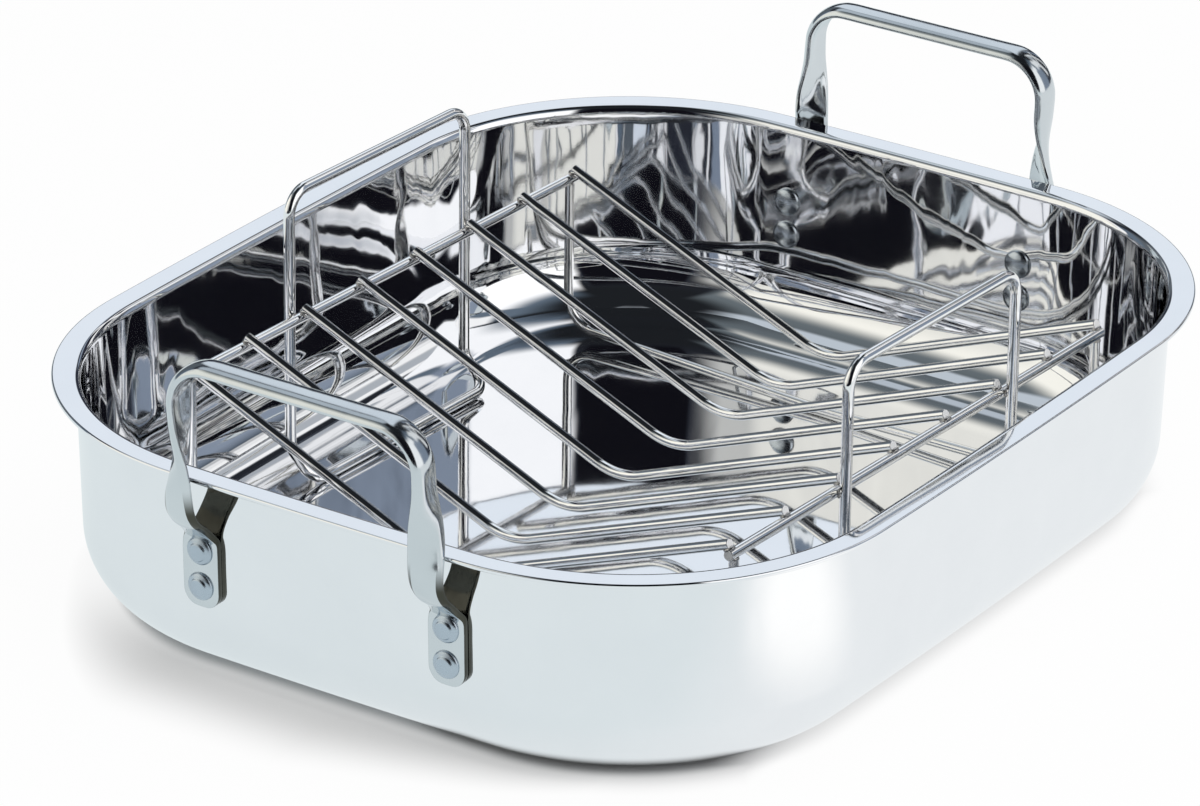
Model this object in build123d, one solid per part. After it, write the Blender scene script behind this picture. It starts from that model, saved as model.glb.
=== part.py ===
from build123d import *
import math
import os

# Roasting pan with a lift-out wire rack, in millimetres.
# X runs from handle to handle, Y across the pan, Z up.
# The origin is under the middle of the pan, on the surface that it stands on.

# Pan body
rim_half_length = 214.0
rim_half_width = 179.7
rim_height = 90.3
end_flat_half_width = 64.7
rim_side_bow_radius = 5300.0
rim_end_bow_radius = 3600.0
lip_width = 9.3
sheet = 2.0
wall_draft_deg = 1.58
floor_radius = 28.7
crease_radius = 3.4
lip_edge_radius = 0.8

# Strap handles
strap_corner_room = 8.7
grip_above_rim = 50.9
grip_past_lip = 5.7
grip_corner_radius = 17.0
strap_width = 13.0
strap_thick = 4.4
lobe_past_lip = 6.1
strap_foot_overlap = 1.77
lug_width = 16.0
lug_thick = 2.6
lug_end_radius = 6.5
lug_below_rivet = 8.8
lug_above_rivet = 7.0
lug_shoulder_radius = 2.5
lug_gap = 0.2

# Rivets
rivet_wall_share = 0.341
rivet_spacing = 14.8
rivet_shank_radius = 3.2
rivet_fit = 0.06
outer_head_radius = 5.7
outer_head_height = 2.4
outer_head_round = 1.5
inner_head_radius = 6.1
inner_head_height = 3.0

# Rack as a whole
rack_turn_deg = -2.32
rack_shift_x = 7.9
rack_shift_y = -1.8
rack_side_room = 35.25
rack_end_room = 75.5
rest_gap = 0.3
weld_sink = 0.35

# V-shaped cross wires
v_wire_count = 8
v_wire_radius = 2.1
v_end_inset = 1.9
v_tip_short = 0.6
v_bend_radius = 30.0
v_rise_deg = 21.6

# Long rails
rail_wire_radius = 2.2
rail_below_rim = 16.8
rail_overhang = 3.6

# End frames
frame_wire_radius = 2.0
frame_bend_radius = 14.0
frame_run_rise = 3.6
frame_run_radius = 280.0

# Lift loops
loop_wire_radius = 2.3
loop_half_length = 57.0
loop_above_rim = 35.7
loop_corner_radius = 10.0
foot_kick_in = 11.35
foot_kick = 12.0
foot_bend_radius = 9.0
foot_corner_radius = 7.5

# The strap from its foot on the lug to the start of the grip's corner, station by
# station: share of the lobe's reach outward, share of the height from the foot to
# the corner, turn in degrees from facing out to facing sideways, share of the
# strap's width and share of its thickness.
strap_station_shares = (
    (0.10, 0.000, 0, 1.10, 0.58),
    (0.17, 0.038, 0, 1.10, 0.64),
    (0.42, 0.100, 0, 1.06, 0.72),
    (0.73, 0.169, 2, 1.06, 0.80),
    (0.94, 0.255, 5, 1.08, 0.86),
    (1.00, 0.359, 12, 1.08, 0.92),
    (0.96, 0.462, 25, 1.06, 0.96),
    (0.92, 0.560, 40, 1.05, 1.00),
    (0.91, 0.658, 56, 1.05, 1.03),
    (0.92, 0.761, 73, 1.03, 1.05),
    (0.94, 0.870, 86, 1.00, 1.05),
)
# The strap's cross-section, a domed face and a slightly hollow back, as shares
# of its width and of its thickness at each station.
strap_section_shares = (
    (-0.500, -0.26), (-0.450, 0.08), (-0.300, 0.38), (0.000, 0.50),
    (0.300, 0.38), (0.450, 0.08), (0.500, -0.26), (0.430, -0.50),
    (0.240, -0.42), (0.000, -0.36), (-0.240, -0.42), (-0.430, -0.50),
)
corner_steps = 4
grip_half_steps = 2

# Fits: the corners take what the flat of each end leaves, the lugs sit on that flat
# and their rivets on the straight wall between the floor's bend and the rim, the
# handles reach past the lip, and the rack is sized to the inside of the pan.
rim_corner_radius = rim_half_width - end_flat_half_width
strap_side_offset = end_flat_half_width - strap_corner_room
rivet_middle_height = floor_radius + rivet_wall_share * (rim_height - floor_radius)
rivet_upper_height = rivet_middle_height + rivet_spacing / 2
grip_height = rim_height + grip_above_rim
grip_out = lip_width + grip_past_lip
lobe_out = lip_width + lobe_past_lip
strap_foot_height = rivet_upper_height + lug_above_rivet - strap_foot_overlap
floor_top = sheet + rest_gap
upright_offset = rim_half_width - lip_width - sheet - rack_side_room
rail_offset = upright_offset - loop_wire_radius - rail_wire_radius + weld_sink
rail_half_length = rim_half_length - lip_width - sheet - rack_end_room
rail_height = rim_height - rail_below_rim
v_tip_offset = rail_offset - v_tip_short
v_wire_pitch = 2 * (rail_half_length - v_end_inset) / (v_wire_count - 1)
frame_leg_place = rail_half_length - rail_overhang
loop_height = rim_height + loop_above_rim
foot_offset = upright_offset - foot_kick_in


# Pan outline

def corner_points(half_length, half_width, side_bow, end_bow, corner):
    """Arc points of one quarter of the outline, from the long side to the end."""
    side_centre = Vector(0, half_width - side_bow)
    end_centre = Vector(half_length - end_bow, 0)
    reach_side = side_bow - corner
    reach_end = end_bow - corner
    between = end_centre - side_centre
    apart = between.length
    along = (apart ** 2 + reach_side ** 2 - reach_end ** 2) / (2 * apart)
    across = math.sqrt(reach_side ** 2 - along ** 2)
    unit = between / apart
    normal = Vector(-unit.Y, unit.X)
    choices = [side_centre + unit * along + normal * across * way for way in (1, -1)]
    centre = max(choices, key=lambda point: point.X + point.Y)
    to_side = (centre - side_centre).normalized()
    to_end = (centre - end_centre).normalized()
    to_middle = (to_side + to_end).normalized()
    return (
        Vector(0, half_width),
        centre + to_side * corner,
        centre + to_middle * corner,
        centre + to_end * corner,
        Vector(half_length, 0),
    )


def outline_face(inset):
    """The rounded outline as a flat face, inset from the lip's outer edge."""
    side, side_end, middle, end_start, tip = corner_points(
        rim_half_length - inset,
        rim_half_width - inset,
        rim_side_bow_radius - inset,
        rim_end_bow_radius - inset,
        rim_corner_radius - inset,
    )

    def at(point, x_sign, y_sign):
        return (point.X * x_sign, point.Y * y_sign)

    arcs = [
        ThreePointArc(at(side_end, -1, 1), at(side, 1, 1), at(side_end, 1, 1)),
        ThreePointArc(at(side_end, 1, 1), at(middle, 1, 1), at(end_start, 1, 1)),
        ThreePointArc(at(end_start, 1, 1), at(tip, 1, 1), at(end_start, 1, -1)),
        ThreePointArc(at(end_start, 1, -1), at(middle, 1, -1), at(side_end, 1, -1)),
        ThreePointArc(at(side_end, 1, -1), at(side, 1, -1), at(side_end, -1, -1)),
        ThreePointArc(at(side_end, -1, -1), at(middle, -1, -1), at(end_start, -1, -1)),
        ThreePointArc(at(end_start, -1, -1), at(tip, -1, 1), at(end_start, -1, 1)),
        ThreePointArc(at(end_start, -1, 1), at(middle, -1, 1), at(side_end, -1, 1)),
    ]
    return make_face(Wire(arcs))


def tub(inset, depth, radius):
    """A drafted block with a rounded floor edge, down from the rim."""
    top_face = Pos(0, 0, rim_height) * outline_face(inset)
    block = extrude(top_face, amount=depth, dir=(0, 0, -1), taper=wall_draft_deg)
    return fillet(block.faces().sort_by(Axis.Z)[0].edges(), radius)


def pan_shell():
    """Drawn body of even sheet: floor, drafted walls, flat turned-out lip."""
    outside = tub(lip_width, rim_height, floor_radius)
    inside = tub(lip_width + sheet, rim_height - sheet, floor_radius - sheet)
    lip = Pos(0, 0, rim_height - sheet) * extrude(outline_face(0), amount=sheet)
    body = outside + lip - inside
    body = fillet(lip_faces(body)[-1].inner_wires()[0].edges(), crease_radius)
    body = fillet(lip_faces(body)[0].inner_wires()[0].edges(), crease_radius - sheet)
    lip_edges = [edge for face in lip_faces(body) for edge in face.outer_wire().edges()]
    return fillet(lip_edges, lip_edge_radius)


def lip_faces(body):
    """The lip's underside and top, in that order: the flat faces with a hole."""
    flat = body.faces().filter_by(Axis.Z).sort_by(Axis.Z)
    return [face for face in flat if face.inner_wires()]


# Places on the end walls

def wall_inset(height):
    """How far the outside of the wall lies inside the lip's edge."""
    return lip_width + (rim_height - height) * math.tan(math.radians(wall_draft_deg))


def wall_point(across, height):
    """A point on the outside of the end wall."""
    bow = rim_end_bow_radius - wall_inset(height)
    reach = rim_half_length - rim_end_bow_radius + math.sqrt(bow ** 2 - across ** 2)
    return Vector(reach, across, height)


def wall_plane(across, height):
    """The plane on the end wall there: Z out of the wall, Y up it."""
    here = wall_point(across, height)
    up = (wall_point(across, rim_height) - wall_point(across, height)).normalized()
    side = (wall_point(across + lug_width, height) - here).normalized()
    return Plane(origin=here, x_dir=side, z_dir=side.cross(up))


def lug_plane(way):
    """The plane of one lug, midway between its two rivets."""
    return wall_plane(strap_side_offset * way, rivet_middle_height)


def rivet_heights():
    """Where the two rivets of a lug lie along its plane."""
    return (-rivet_spacing / 2, rivet_spacing / 2)


# Handle

def strap_section(middle, tangent, facing, width, thick):
    """The strap's closed cross-section, square to its path."""
    facing = (facing - tangent * facing.dot(tangent)).normalized()
    plane = Plane(origin=middle, x_dir=facing.cross(tangent), z_dir=tangent)
    points = [
        plane.from_local_coords(Vector(across * width, depth * thick, 0))
        for across, depth in strap_section_shares
    ]
    return Wire([Spline(*points, periodic=True)])


def strap_stations():
    """Places of the half strap, from the lug to the middle of the grip."""
    wall_x = wall_point(strap_side_offset, rim_height).X
    corner_height = grip_height - grip_corner_radius
    climb = corner_height - strap_foot_height
    stations = []
    for out, rise, turn, wide, thick in strap_station_shares:
        middle = Vector(
            wall_x + out * lobe_out,
            strap_side_offset,
            strap_foot_height + rise * climb,
        )
        angle = math.radians(turn)
        facing = Vector(math.cos(angle), math.sin(angle), 0)
        stations.append((middle, facing, wide * strap_width, thick * strap_thick))
    grip_x = wall_x + grip_out
    inner_y = strap_side_offset - grip_corner_radius
    for step in range(corner_steps + 1):
        angle = math.radians(90) * step / corner_steps
        facing = Vector(0, math.cos(angle), math.sin(angle))
        middle = Vector(grip_x, inner_y, corner_height) + facing * grip_corner_radius
        stations.append((middle, facing, strap_width, strap_thick))
    for step in range(1, grip_half_steps + 1):
        place = inner_y * (1 - step / grip_half_steps)
        stations.append((Vector(grip_x, place, grip_height), Vector(0, 0, 1), strap_width, strap_thick))
    return stations


def strap():
    """The whole bent and twisted strap above the lugs, as one smooth loft."""
    half = strap_stations()
    other = [
        (Vector(middle.X, -middle.Y, middle.Z), Vector(facing.X, -facing.Y, facing.Z), width, thick)
        for middle, facing, width, thick in reversed(half[:-1])
    ]
    stations = half + other
    sections = []
    for place, (middle, facing, width, thick) in enumerate(stations):
        before = stations[max(place - 1, 0)][0]
        after = stations[min(place + 1, len(stations) - 1)][0]
        tangent = (after - before).normalized()
        sections.append(strap_section(middle, tangent, facing, width, thick))
    return Solid.make_loft(sections)


def lug(way):
    """A flat lug with a rounded end, seated on the wall."""
    low = -rivet_spacing / 2 - lug_below_rivet
    high = rivet_spacing / 2 + lug_above_rivet
    plate = Pos(0, (low + high) / 2) * Rectangle(lug_width, high - low)
    plate = fillet(plate.vertices().group_by(Axis.Y)[0], lug_end_radius)
    plate = fillet(plate.vertices().group_by(Axis.Y)[-1], lug_shoulder_radius)
    return lug_plane(way) * (Pos(0, 0, lug_gap) * extrude(plate, amount=lug_thick))


def handle():
    """One strap handle, for the end towards +X, with room for its rivets."""
    body = strap() + lug(1) + lug(-1)
    for way in (1, -1):
        for height in rivet_heights():
            body -= lug_plane(way) * (Pos(0, height, 0) * (shank_hole() + head_room()))
    return body


# Rivets

def rivet():
    """A rivet along Z: the wall's outside is at 0, the inside at minus the sheet."""
    seat = lug_gap + lug_thick + rivet_fit
    inner_seat = -sheet - rivet_fit
    shank = Pos(0, 0, inner_seat) * extrude(Circle(rivet_shank_radius), amount=seat - inner_seat)
    head = Pos(0, 0, seat) * extrude(Circle(outer_head_radius), amount=outer_head_height)
    head = fillet(head.edges().sort_by(Axis.Z)[-1], outer_head_round)
    ball = (inner_head_radius ** 2 + inner_head_height ** 2) / (2 * inner_head_height)
    dome = Pos(0, 0, inner_seat - inner_head_height + ball) * Sphere(ball)
    keep = Pos(0, 0, inner_seat - inner_head_height) * extrude(Circle(ball), amount=inner_head_height)
    return shank + head + (dome & keep)


def shank_hole():
    """The clearance hole for a rivet's shank, through the lug and the wall."""
    depth = lug_gap + lug_thick + sheet + rivet_fit
    hole = extrude(Circle(rivet_shank_radius + rivet_fit), amount=2 * depth)
    return Pos(0, 0, -depth) * hole


def head_room():
    """The room for a rivet's outer head, from its seat on the lug outward."""
    room = extrude(Circle(outer_head_radius + rivet_fit), amount=outer_head_height + strap_thick)
    return Pos(0, 0, lug_gap + lug_thick) * room


def lug_places():
    """Frames of the four lugs' rivets: name, frame, for both handles."""
    places = []
    for end_name, end_turn in (("far", 0), ("near", 180)):
        for side_name, way in (("left", 1), ("right", -1)):
            for row_name, height in zip(("lower", "upper"), rivet_heights()):
                sight = way if end_turn == 0 else -way
                frame = Rot(0, 0, end_turn) * lug_plane(sight).location * Pos(0, height, 0)
                places.append((f"rivet_{end_name}_{side_name}_{row_name}", frame))
    return places


# Rack

def wire_along(points, radii, radius):
    """A round wire bent along a route, with one bend radius for each corner."""
    path = FilletPolyline(*points, radius=radii)
    start = Plane(origin=path @ 0, z_dir=path % 0)
    return sweep(start * Circle(radius), path=path)


def seated(rack_part):
    """Put a rack piece where the rack lies in the pan."""
    return Pos(rack_shift_x, rack_shift_y, 0) * Rot(0, 0, rack_turn_deg) * rack_part


def v_axis_height(across):
    """Height of a V wire's straight arm, from the weld on the rail."""
    slope = math.tan(math.radians(v_rise_deg))
    stack = (rail_wire_radius + v_wire_radius - weld_sink) / math.cos(math.radians(v_rise_deg))
    return rail_height + stack + (across - rail_offset) * slope


def v_wire(place):
    """One cross wire: two straight arms and a rounded bottom bend."""
    tip = v_axis_height(v_tip_offset)
    bottom = v_axis_height(0)
    points = [(place, -v_tip_offset, tip), (place, 0, bottom), (place, v_tip_offset, tip)]
    return wire_along(points, v_bend_radius, v_wire_radius)


def v_places():
    middle = (v_wire_count - 1) / 2
    return [(number - middle) * v_wire_pitch for number in range(v_wire_count)]


def rail(way):
    """One straight rail under the tips of the V wires."""
    start = Plane(origin=(-rail_half_length, rail_offset * way, rail_height), z_dir=(1, 0, 0))
    return extrude(start * Circle(rail_wire_radius), amount=2 * rail_half_length)


def end_frame(place):
    """A leg, a run just above the floor that dips in the middle, and a leg."""
    top = rail_height - rail_wire_radius + weld_sink
    run = floor_top + frame_wire_radius
    points = [
        (place, -rail_offset, top),
        (place, -rail_offset, run + frame_run_rise),
        (place, 0, run),
        (place, rail_offset, run + frame_run_rise),
        (place, rail_offset, top),
    ]
    radii = [frame_bend_radius, frame_run_radius, frame_bend_radius]
    return wire_along(points, radii, frame_wire_radius)


def lift_loop(way):
    """A closed loop: grip bar, two uprights, feet kicked inward, foot bar."""
    foot = floor_top + loop_wire_radius
    points = [
        (0, upright_offset, loop_height),
        (loop_half_length, upright_offset, loop_height),
        (loop_half_length, upright_offset, foot + foot_kick),
        (loop_half_length, foot_offset, foot),
        (0, foot_offset, foot),
    ]
    radii = [loop_corner_radius, foot_bend_radius, foot_corner_radius]
    half = wire_along(points, radii, loop_wire_radius)
    whole = half + mirror(half, about=Plane.YZ)
    return whole if way > 0 else mirror(whole, about=Plane.XZ)


# Assembly

def build():
    pieces = {}
    body = pan_shell()
    places = lug_places()
    for name, frame in places:
        body -= frame * shank_hole()
    pieces["pan_body"] = body
    grip = handle()
    pieces["handle_far"] = grip
    pieces["handle_near"] = Rot(0, 0, 180) * grip
    for name, frame in places:
        pieces[name] = frame * rivet()
    for number, place in enumerate(v_places(), start=1):
        pieces[f"v_wire_{number}"] = seated(v_wire(place))
    pieces["rail_left"] = seated(rail(1))
    pieces["rail_right"] = seated(rail(-1))
    pieces["end_frame_far"] = seated(end_frame(frame_leg_place))
    pieces["end_frame_near"] = seated(end_frame(-frame_leg_place))
    pieces["lift_loop_left"] = seated(lift_loop(1))
    pieces["lift_loop_right"] = seated(lift_loop(-1))
    return pieces


os.makedirs("parts", exist_ok=True)
for name, solid in build().items():
    export_step(solid, f"parts/{name}.step")
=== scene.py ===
import math

import bmesh
import bpy
from mathutils import Matrix, Vector


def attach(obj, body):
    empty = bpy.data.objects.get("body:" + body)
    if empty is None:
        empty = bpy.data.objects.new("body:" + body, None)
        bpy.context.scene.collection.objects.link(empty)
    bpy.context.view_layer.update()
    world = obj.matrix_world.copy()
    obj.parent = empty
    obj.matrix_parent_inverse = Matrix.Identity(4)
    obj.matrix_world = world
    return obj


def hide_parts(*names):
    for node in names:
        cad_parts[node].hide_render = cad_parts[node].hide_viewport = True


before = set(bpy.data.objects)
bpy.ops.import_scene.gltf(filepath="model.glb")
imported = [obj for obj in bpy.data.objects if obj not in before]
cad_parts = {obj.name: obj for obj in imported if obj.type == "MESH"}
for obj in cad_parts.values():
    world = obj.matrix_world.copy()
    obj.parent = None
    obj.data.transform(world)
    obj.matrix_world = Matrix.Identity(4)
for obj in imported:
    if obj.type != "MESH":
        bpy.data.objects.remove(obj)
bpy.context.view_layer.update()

# A polished steel roasting pan with two riveted strap handles and a loose V rack of plated wire.
# Sizes are in millimetres, turned to metres where a mesh is made.
MM = 0.001

# Pan body
rim_half_length = 214.0
rim_half_width = 179.7
rim_height = 90.3
rim_corner_radius = 115.0
rim_side_bow_radius = 5300.0
rim_end_bow_radius = 3600.0
lip_width = 9.3
sheet = 2.0
wall_draft = math.radians(1.58)
floor_radius = 28.7
crease_radius = 3.4
lip_edge_radius = 0.8
floor_hub_inset = 100.0
end_steps, corner_steps, side_steps = 16, 72, 22
floor_bend_steps, crease_steps, under_steps, lip_edge_steps = 30, 10, 6, 6
crisp_reach, crisp_share, long_run = 0.35, 0.2, 4
pan_merge = 0.02

# Strap handles
strap_side_offset = 56.0
grip_height = 141.2
grip_out = 15.0
grip_corner_radius = 17.0
strap_width = 13.0
strap_thick = 4.4
lobe_out = 15.4
lug_width = 16.0
lug_thick = 2.6
lug_end_radius = 6.5
lug_below_rivet = 8.8
strap_foot_rise = 5.23
lug_gap = 0.2
lug_tip_thinning, lug_tip_length = 0.25, 0.5
lug_tip_shares = (0, 0.02, 0.06, 0.13, 0.24, 0.4, 0.6, 0.8, 1.0)
grip_shares = (0.75, 0.5, 0.25, 0)
strap_steps, strap_sides, grip_corner_steps = 7, 56, 6
# Section places behind this depth or beyond this reach to each side mark the faces that get painted shade
strap_back_depth, strap_edge_reach = -0.30, 0.485

# Rivets
rivet_upper_height = 57.11
rivet_spacing = 14.8
rivet_lower_height = rivet_upper_height - rivet_spacing
outer_head_radius = 5.7
outer_head_height = 2.4
inner_head_radius = 6.1
inner_head_height = 3.0
inner_head_edge = 0.25
inner_head_undercut = 0.1
inner_dome_shares = (0.04, 0.12, 0.25, 0.4, 0.55, 0.7, 0.85)
rivet_shank_radius = 3.2
rivet_steps = 48
rivet_merge = 0.03

# Rack
rack_turn = math.radians(-2.32)
rack_shift = (7.9, -1.8)
floor_top = 2.3
weld_sink = 0.35
v_wire_count = 8
v_wire_radius = 2.1
v_wire_pitch = 35.8
v_tip_offset = 128.4
v_bend_radius = 30.0
v_rise = math.radians(21.6)
rail_wire_radius = 2.2
rail_offset = 129.0
rail_height = 73.5
rail_overhang = 3.6
frame_wire_radius = 2.0
frame_leg_place = 123.6
frame_bend_radius = 14.0
frame_run_rise = 3.6
frame_run_radius = 280.0
loop_wire_radius = 2.3
loop_half_length = 57.0
loop_height = 126.0
loop_corner_radius = 10.0
foot_offset = 121.8
foot_kick = 12.0
foot_bend_radius = 9.0
foot_corner_radius = 7.5
wire_end_bevel = 0.25
wire_sides, wire_bend_steps = 32, 14
bead_radius = 2.2
bead_flatness = 0.45
bead_unevenness = 0.14
least_bead, most_bead = 0.88, 1.14
bead_lump_scale = 420.0
bead_seed = 7

# Studio: heights and bearings in degrees, colours as red, green and blue
room_tint = (0.030, 0.034, 0.050)
ceiling_tint = (0.014, 0.016, 0.019)
ceiling_height = 60
window, white, cream, lavender = (1.18, 1.18, 1.18), (1.0, 1.0, 1.0), (1.04, 1.02, 0.93), (0.82, 0.885, 0.96)
grey, slate, haze, dusk = (0.12, 0.14, 0.16), (0.25, 0.30, 0.38), (0.13, 0.17, 0.22), (0.14, 0.165, 0.18)
mist, bone, pewter, black = (0.55, 0.61, 0.67), (0.62, 0.62, 0.59), (0.45, 0.48, 0.52), (0.006, 0.006, 0.009)
# Each panel: middle bearing, half turn, lowest and highest height, softness of its sides, foot and top,
# narrowing for each degree above its knee, waver and tint.
studio_panels = (
    (-65, 38, 30, 66, (8, 8, 8), 0, 0, haze),
    (133, 31, 30, 65, (5, 8, 8), 0, 0, dusk),
    (68, 20, -2, 34, (5, 3, 5), 0, 1, grey),
    (94, 9, -2, 34, (3, 3, 4), 0, 1, haze),
    (31, 16.5, 16.5, 76, (2.5, 2, 9), 0, 0, lavender),
    (76, 27, 45, 68, (6, 5, 6), 0, 0, mist),
    (132, 27, -2, 48, (5, 3, 9), 0, 0, cream),
    (165, 13, 8, 38, (9, 3, 6), 0, 0, bone),
    (-82, 36, -2, 55, (2.5, 3, 7), 0.22, 0, window),
    (-47, 14, -2, 39, (3, 3, 2), 0, 1, slate),
    (104, 3, 4, 44, (1, 1.5, 3), 0, 1, white),
    (-33, 8, 34, 51, (2, 2, 2), 0, 1, white),
    (-11, 8, 37, 48, (2, 2, 2), 0, 1, pewter),
    (-22, 3.5, 8, 44, (1.5, 1.5, 1.5), 0, 1, white),
    (-6, 2.5, 6, 50, (1, 1, 1), 0, 1, white),
    (9, 2.5, 6, 40, (1, 1, 1), 0, 1, slate),
    (-10, 20, 30, 33, (1, 1, 1), 0, 1, white),
    (-147, 26.5, -4, 52, (1.2, 1, 5), 0, 0, black),
)
panel_knee = 28.0
lamp_place, lamp_size, lamp_power = (0.0, -0.55, 1.85), (1.6, 1.2), 36
panel_waver = 2.5
ripple_scale = 2.2

# White table, in metres: the pan's flat base as a box with round corners, and how the painted shadow runs
# outward from it. "Shares" say how white the camera sees the table's glow, from 0, its paint, to 1.
table_reach = 8.0
table_paint = 0.62
base_half_x, base_half_y, base_corner = 0.099, 0.065, 0.072
# Painted light: beyond this band the table glows white to the camera, as if lit from that side, a little less
# at the base's foot
lit_side_band, lit_side_share = (-0.132, -0.156), 0.97
lit_foot_band, lit_foot_share = (0.014, 0.026), 0.72
shadow_end_band, shadow_shares = (0.075, 0.155), (0.40, 0.91)
contact_band = (0.0125, 0.0205)
core_places, core_reach, shadow_reach = (-0.11, 0.0), (0.011, 0.028), (0.035, 0.074)
fade_share, most_share = 0.57, 0.97
# Painted reflection: the glow that only polished metal sees on the table, bluer at the sides, with a painted
# highlight at one corner
side_painted_reflection, front_painted_reflection, corner_painted_highlight = (0.79, 0.86, 0.875), (0.91, 0.94, 0.95), (1.16, 1.16, 1.14)
painted_reflection_share = 0.93
front_band_x, front_band_y = (-0.24, -0.12), (0.05, -0.05)
painted_highlight_place, painted_highlight_band = (-0.09, -0.285), (0.03, 0.10)
# Painted shade: close to the base the metal sees the table's dim paint instead of its glow, a dark contact
# line, reaching furthest at one corner
painted_shade_corner, painted_shade_corner_band, painted_shade_reaches, painted_shade_softness = (-0.18, -0.10), (0.050, 0.085), (0.013, 0.005), 0.010

# Edges sharper than these stay crisp
crease_angle, bead_crease_angle = math.radians(50), math.radians(80)

# Finishes: the values that noise, painted shade and rubbing marks run over, then their scale in every metal
noise_range, shade_cloud_range, mark_range = (0.3, 0.7), (0.4, 0.6), (0.45, 0.75)
least_rough, most_rough, shade_depth, rub_strength = 0.7, 1.5, 0.5, 0.6
calm_end, calm_end_share = 2.0, 0.4
cloud_scale = 26.0
rub_scale, rub_turn, rub_depth, rub_roughness = (60, 60, 2600), (0.2, 0.1, 0), 0.0000012, 0.3
drawn_stretch = (1, 1, 0.55)
ridge_size, ridge_weight = 0.38, 0.06


# Node graphs

class Graph:
    """A node tree with short calls to add nodes and to feed their sockets."""

    def __init__(self, tree):
        self.tree = tree

    def add(self, kind, feeds=None, **settings):
        node = self.tree.nodes.new(kind)
        for name, value in settings.items():
            setattr(node, name, value)
        for socket, value in (feeds or {}).items():
            self.feed(node.inputs[socket], value)
        return node

    def feed(self, socket, value):
        if isinstance(value, bpy.types.NodeSocket):
            self.tree.links.new(value, socket)
        elif isinstance(value, bpy.types.Node):
            self.tree.links.new(value.outputs[0], socket)
        else:
            socket.default_value = value

    def math(self, operation, first, second=0.0, third=0.0):
        return self.add("ShaderNodeMath", {0: first, 1: second, 2: third}, operation=operation).outputs[0]

    def remap(self, value, low, high, to_low, to_high, smooth=False):
        kind = "SMOOTHSTEP" if smooth else "LINEAR"
        feeds = {"Value": value, "From Min": low, "From Max": high, "To Min": to_low, "To Max": to_high}
        return self.add("ShaderNodeMapRange", feeds, interpolation_type=kind).outputs[0]

    def blend(self, factor, first, second):
        node = self.add("ShaderNodeMix", data_type="RGBA")
        self.feed(node.inputs[0], factor)
        self.feed(node.inputs[6], first)
        self.feed(node.inputs[7], second)
        return node.outputs[2]


# Camera

def place_camera():
    """The photograph's viewpoint, solved from the pan's outline."""
    azimuth, elevation, roll = math.radians(-56.66), math.radians(24.64), math.radians(0.86)
    aim, distance, focal_pixels, axis_pixels = Vector((0, 0, 0.0609)), 2.7065, 6915.86, (31.59, -13.23)
    photo_width = 1200
    back = Vector((
        math.sin(azimuth) * math.cos(elevation),
        -math.cos(azimuth) * math.cos(elevation),
        math.sin(elevation),
    ))
    right = Vector((math.cos(azimuth), math.sin(azimuth), 0))
    up = back.cross(right)
    turned_right = right * math.cos(roll) + up * math.sin(roll)
    turned_up = up * math.cos(roll) - right * math.sin(roll)
    data = bpy.data.cameras.new("photo_view")
    data.sensor_fit = "HORIZONTAL"
    data.sensor_width = 36
    data.lens = focal_pixels / photo_width * data.sensor_width
    data.shift_x = -axis_pixels[0] / photo_width
    data.shift_y = axis_pixels[1] / photo_width
    data.clip_start, data.clip_end = 0.05, 60
    camera = bpy.data.objects.new("photo_view", data)
    turn = Matrix((turned_right, turned_up, back)).transposed().to_4x4()
    camera.matrix_world = Matrix.Translation(aim + back * distance) @ turn
    bpy.context.collection.objects.link(camera)
    bpy.context.scene.camera = camera


# Studio

def studio_world(panels):
    """A dim room with panels and strips placed by bearing and height in degrees, white to the camera."""
    world = bpy.data.worlds.new("studio")
    bpy.context.scene.world = world
    world.use_nodes = True
    graph = Graph(world.node_tree)
    graph.tree.nodes.clear()
    where = graph.add("ShaderNodeTexCoord").outputs["Generated"]
    ripple = graph.add("ShaderNodeTexNoise", {"Vector": where, "Scale": ripple_scale, "Detail": 2.0})
    split = graph.add("ShaderNodeSeparateXYZ", {0: where})
    bearing = graph.math("DEGREES", graph.math("ARCTAN2", split.outputs[1], split.outputs[0]))
    height = graph.math("DEGREES", graph.math("ARCSINE", split.outputs[2]))
    waver = graph.remap(ripple.outputs[0], *noise_range, -panel_waver, panel_waver)
    colour = graph.blend(graph.remap(height, 0, ceiling_height, 0, 1), (*room_tint, 1), (*ceiling_tint, 1))
    for middle, half_turn, low, high, softness, narrowing, bent, tint in panels:
        side_soft, foot_soft, top_soft = softness
        shift = graph.math("MULTIPLY", waver, float(bent))
        level = graph.math("ADD", height, shift)
        turned = graph.math("WRAP", graph.math("SUBTRACT", bearing, middle), 180.0, -180.0)
        aside = graph.math("ABSOLUTE", graph.math("ADD", turned, shift))
        above_knee = graph.math("MAXIMUM", graph.math("SUBTRACT", level, panel_knee), 0.0)
        aside = graph.math("ADD", aside, graph.math("MULTIPLY", above_knee, narrowing))
        within = graph.remap(aside, half_turn - side_soft, half_turn + side_soft, 1, 0, True)
        above = graph.remap(level, low - foot_soft, low + foot_soft, 0, 1, True)
        below = graph.remap(level, high - top_soft, high + top_soft, 1, 0, True)
        mask = graph.math("MULTIPLY", within, graph.math("MULTIPLY", above, below))
        colour = graph.blend(mask, colour, (*tint, 1))
    seen = graph.add("ShaderNodeLightPath").outputs["Is Camera Ray"]
    colour = graph.blend(seen, colour, (1, 1, 1, 1))
    light = graph.add("ShaderNodeBackground", {"Color": colour, "Strength": 1.0})
    graph.add("ShaderNodeOutputWorld", {0: light})


def soft_lamp(name, place, aim, size, power):
    """A soft box aimed at a spot, which lights but isn't mirrored."""
    data = bpy.data.lights.new(name, "AREA")
    data.shape = "RECTANGLE"
    data.size, data.size_y = size
    data.energy = power
    lamp = bpy.data.objects.new(name, data)
    lamp.location = place
    lamp.rotation_mode = "QUATERNION"
    lamp.rotation_quaternion = (Vector(aim) - Vector(place)).to_track_quat("-Z", "Y")
    lamp.visible_glossy = False
    bpy.context.collection.objects.link(lamp)


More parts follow.
